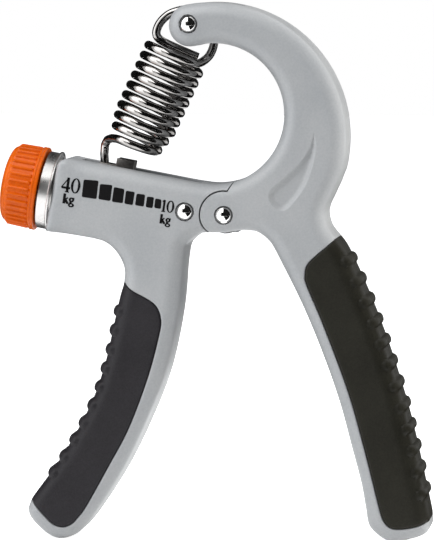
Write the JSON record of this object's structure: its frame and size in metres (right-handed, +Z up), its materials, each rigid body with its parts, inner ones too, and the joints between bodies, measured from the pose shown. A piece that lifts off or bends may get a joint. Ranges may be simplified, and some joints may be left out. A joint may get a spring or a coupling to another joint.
{
  "type": "adjustable hand grip strengthener",
  "caption": "Adjustable hand grip strengthener: two hinged handles with rubber grips, held apart by a coil spring on a screw-driven carriage with a ribbed knob.",
  "frame": {"origin": "under the middle of the object, on the surface that the two leg ends stand on", "axes": "+X to the side away from the knob, -Y to the front face with the pivot's cheeks facing, +Z up from the leg ends to the arm; +Y is along the hinge pin"},
  "size_m": [0.1217, 0.0246, 0.1507],
  "materials": {
    "handle_plastic": "satin light silver-grey moulded plastic",
    "grip_rubber": "soft charcoal rubber with a low sheen",
    "knob_plastic": "orange moulded plastic, softly glossy",
    "collar_metal": "turned metal with fine rings",
    "rivet_metal": "polished nickel",
    "spring_wire": "bright nickel-plated spring wire",
    "dark_steel": "dark oiled steel",
    "bearing_bronze": "sintered bronze",
    "fastener_steel": "zinc-plated steel"
  },
  "bodies": {
    "left_handle": {"left_shell_front": "handle_plastic", "left_shell_rear": "handle_plastic", "left_grip": "grip_rubber", "left_shell_screws": "fastener_steel", "housing_rivet": "rivet_metal", "collar": "collar_metal", "thrust_bush": "bearing_bronze", "end_bearing": "bearing_bronze", "pivot_bush": "bearing_bronze", "pivot_washers": "fastener_steel"},
    "right_handle": {"right_shell_front": "handle_plastic", "right_shell_rear": "handle_plastic", "right_grip": "grip_rubber", "right_shell_screws": "fastener_steel", "pivot_rivet": "rivet_metal", "arm_rivet": "rivet_metal"},
    "adjuster": {"knob": "knob_plastic", "lead_screw": "fastener_steel", "thrust_washer": "fastener_steel", "retaining_clip": "dark_steel"},
    "carriage": {"carriage_nut": "dark_steel", "hook_pin": "fastener_steel"},
    "spring_top": {"spring_roller": "bearing_bronze", "spring_upper": "spring_wire"},
    "spring_bottom": {"spring_lower": "spring_wire"}
  },
  "joints": [
    {"name": "squeeze", "type": "hinge", "parent": "left_handle", "child": "right_handle", "pos_m": [0.0036, 0, 0.0916], "axis": [0, 1, 0], "range_deg": [0, 46], "stiffness_Nm_per_rad": 6, "springref_deg": -14.32},
    {"name": "carriage_travel", "type": "slide", "parent": "left_handle", "child": "carriage", "axis": [0.9833, 0, -0.1822], "range_m": [-0.0045, 0.0155]},
    {"name": "load_adjust", "type": "hinge", "parent": "left_handle", "child": "adjuster", "pos_m": [-0.0448, 0, 0.0971], "axis": [0.9833, 0, -0.1822], "range_deg": [-2800, 820]},
    {"name": "spring_swing", "type": "hinge", "parent": "right_handle", "child": "spring_top", "pos_m": [-0.0063, 0, 0.1445], "axis": [0, 1, 0], "range_deg": [-19.4, 5.8]},
    {"name": "spring_stretch", "type": "slide", "parent": "spring_top", "child": "spring_bottom", "axis": [0.0824, 0, -0.9966], "range_m": [-0.0003, 0.0275], "deforming": ["spring_upper", "spring_lower"]}
  ],
  "couplings": [
    {"joint": "load_adjust", "follows": "carriage_travel", "rad_per_m": -3141.6},
    {"joint": "spring_swing", "follows": "carriage_travel", "rad_per_m": -21.36},
    {"joint": "spring_stretch", "follows": "squeeze", "m_per_rad": 0.033}
  ]
}
